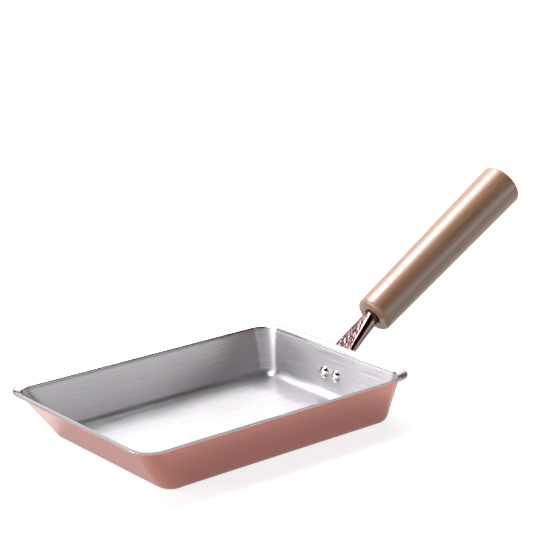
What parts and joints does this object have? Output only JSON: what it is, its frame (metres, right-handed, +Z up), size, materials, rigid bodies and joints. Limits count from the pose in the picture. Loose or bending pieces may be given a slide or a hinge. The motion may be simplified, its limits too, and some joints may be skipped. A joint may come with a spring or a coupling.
{
  "type": "tamagoyaki pan",
  "caption": "Rectangular omelette pan with a copper outside, a brushed steel lining, a long sloped front wall, a flared rim, and a tilted wooden grip on a riveted neck.",
  "frame": {"origin": "centre of the flat base's underside, on the surface that the pan stands on", "axes": "+X along the pan's length towards the handle, +Y across it, +Z up out of the pan"},
  "size_m": [0.3215, 0.126, 0.1138],
  "materials": {
    "copper": "satin",
    "brushed_lining": "satin",
    "copper_plate": "gloss",
    "polished_rivet": "polished",
    "zinc_steel": "satin",
    "pale_wood": "satin"
  },
  "bodies": {
    "root": {"copper_shell": "copper", "steel_lining": "brushed_lining", "neck_bracket": "copper_plate", "rivet_left": "polished_rivet", "rivet_right": "polished_rivet", "tang_nut": "zinc_steel", "wooden_grip": "pale_wood", "grip_screw": "zinc_steel", "screw_washer": "zinc_steel"}
  },
  "joints": []
}
